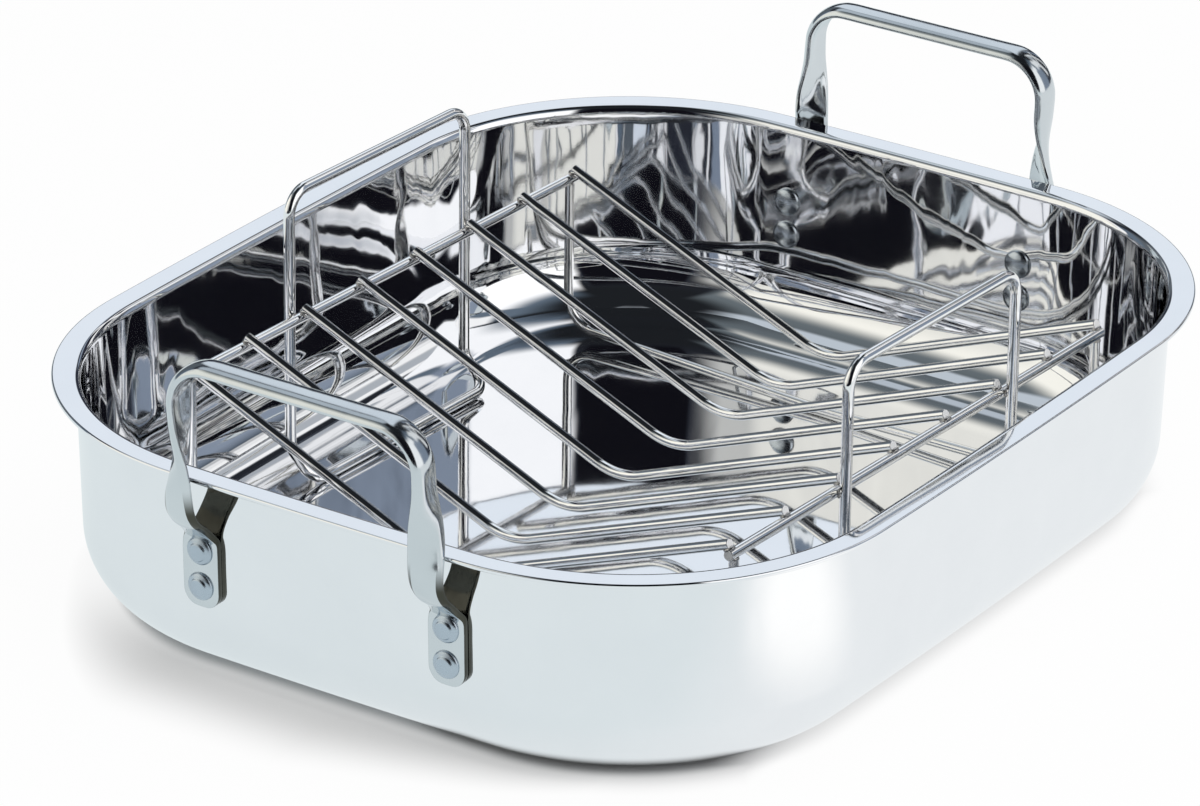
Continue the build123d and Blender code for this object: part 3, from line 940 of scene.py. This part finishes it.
def make_rack(tree, finishes):
    """All the rack's wires, each with the name of its solid."""
    made = []
    tip, bottom = v_axis_height(v_tip_offset), v_axis_height(0)
    for number in range(v_wire_count):
        place = (number - (v_wire_count - 1) / 2) * v_wire_pitch
        points = [(place, -v_tip_offset, tip), (place, 0, bottom), (place, v_tip_offset, tip)]
        name = f"v_wire_{number + 1}"
        wire = make_wire(tree, name + "_bright", points, [0, v_bend_radius, 0], v_wire_radius, finishes)
        made.append((wire, name))
    reach = frame_leg_place + rail_overhang
    for side, way in (("left", 1), ("right", -1)):
        points = [(-reach, rail_offset * way, rail_height), (reach, rail_offset * way, rail_height)]
        rail = make_wire(tree, f"rail_{side}_bright", points, [0, 0], rail_wire_radius, finishes)
        made.append((rail, f"rail_{side}"))
        upright = (rail_offset + rail_wire_radius + loop_wire_radius - weld_sink) * way
        foot, knee = floor_top + loop_wire_radius, floor_top + loop_wire_radius + foot_kick
        half = loop_half_length
        points = [(-half, upright, loop_height), (half, upright, loop_height), (half, upright, knee),
                  (half, foot_offset * way, foot), (-half, foot_offset * way, foot), (-half, upright, knee)]
        bends = [loop_corner_radius, loop_corner_radius, foot_bend_radius,
                 foot_corner_radius, foot_corner_radius, foot_bend_radius]
        loop = make_wire(tree, f"lift_loop_{side}_bright", points, bends, loop_wire_radius, finishes,
                         closed=True)
        made.append((loop, f"lift_loop_{side}"))
    top = rail_height - rail_wire_radius + weld_sink
    run = floor_top + frame_wire_radius
    for end, way in (("far", 1), ("near", -1)):
        place = frame_leg_place * way
        points = [(place, -rail_offset, top), (place, -rail_offset, run + frame_run_rise), (place, 0, run),
                  (place, rail_offset, run + frame_run_rise), (place, rail_offset, top)]
        bends = [0, frame_bend_radius, frame_run_radius, frame_bend_radius, 0]
        wire = make_wire(tree, f"end_frame_{end}_bright", points, bends, frame_wire_radius, finishes)
        made.append((wire, f"end_frame_{end}"))
    return made


def weld_places():
    """Where wires meet the rails, in rack places, with the direction square to each joint."""
    places = []
    for side in (1, -1):
        lean = Vector((0, -math.sin(v_rise) * side, math.cos(v_rise)))
        for number in range(v_wire_count):
            along = (number - (v_wire_count - 1) / 2) * v_wire_pitch
            places.append((Vector((along, rail_offset * side, rail_height)) + lean * rail_wire_radius, lean))
        for way in (1, -1):
            leg_top = Vector((frame_leg_place * way, rail_offset * side, rail_height - rail_wire_radius))
            upright = Vector((loop_half_length * way, (rail_offset + rail_wire_radius) * side, rail_height))
            places += [(leg_top, Vector((0, 0, 1))), (upright, Vector((0, 1, 0)))]
    return places


def make_weld_beads(tree, finish):
    """A bead of weld in each joint of the rack, as one piece."""
    places = weld_places()
    beads = line_mesh("weld_beads", [seated(place) for place, normal in places])
    layer = beads.data.attributes.new("joint_normal", "FLOAT_VECTOR", "POINT")
    turned = [Matrix.Rotation(rack_turn, 3, "Z") @ normal for place, normal in places]
    layer.data.foreach_set("vector", [value for normal in turned for value in normal])
    return run_tree(beads, tree, {"Bead radius": bead_radius * MM, "Flatness": bead_flatness,
                                  "Unevenness": bead_unevenness * MM, "Seed": bead_seed, "Finish": finish})


# Putting it together

bpy.context.scene.view_settings.view_transform = "Standard"
place_camera()
studio_floor()
studio_world(studio_panels)
soft_lamp("overhead_box", lamp_place, aim=(0, 0, 0), size=lamp_size, power=lamp_power)

strap_tints, strap_grain = ((0.71, 0.745, 0.765), (0.60, 0.64, 0.665)), (0.115, 14.0, 0.13)
pan_finish = polished_metal("pan_polish", (0.90, 0.905, 0.92), (0.84, 0.85, 0.87), 0.03, 30.0, 0.42,
                            calm=(6.0, 66.0, rim_height - 0.5, 0.10))
strap_finish = polished_metal("strap_polish", *strap_tints, *strap_grain)
# Painted shade: the strap's back, sides and lug tips turn dark below the lip, where they face the wall
strap_back_shaded_finish = polished_metal("strap_back", *strap_tints, *strap_grain,
                                   painted_shade=(78.0, 90.0, (0.075, 0.074, 0.060)))
rivet_finish = polished_metal("rivet_polish", (0.60, 0.65, 0.70), (0.48, 0.53, 0.58), 0.20, 5.0, 0.04)
rivet_outer_finish = polished_metal("rivet_satin", (0.55, 0.62, 0.69), (0.40, 0.47, 0.54), 0.28, 5.0, 0.04)
wire_finish = polished_metal("wire_plating", (0.94, 0.94, 0.94), (0.86, 0.86, 0.86), 0.028, 9.0, 0.02)
weld_finish = polished_metal("weld_metal", (0.64, 0.63, 0.62), (0.36, 0.35, 0.34), 0.2, 2.0, 0.05)
cut_finish = polished_metal("cut_wire", (1.0, 1.0, 1.0), (0.92, 0.92, 0.92), 0.45, 3.0, 0.05, metal=0.25)

section_tree = swept_section_tree()
wire_tree = bent_wire_tree()

pan_body = make_pan_body(section_tree, pan_finish)
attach(pan_body, "pan")
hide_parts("pan_body")
for end in ("near", "far"):
    strap = make_handle(end, strap_finish, strap_back_shaded_finish)
    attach(strap, "pan")
    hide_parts(f"handle_{end}")
for piece, node in make_rivets(section_tree, rivet_finish, rivet_outer_finish):
    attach(piece, "pan")
    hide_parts(node)
for piece, node in make_rack(wire_tree, (wire_finish, cut_finish)):
    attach(piece, "rack")
    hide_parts(node)

weld_beads = make_weld_beads(weld_bead_tree(), weld_finish)
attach(weld_beads, "rack")
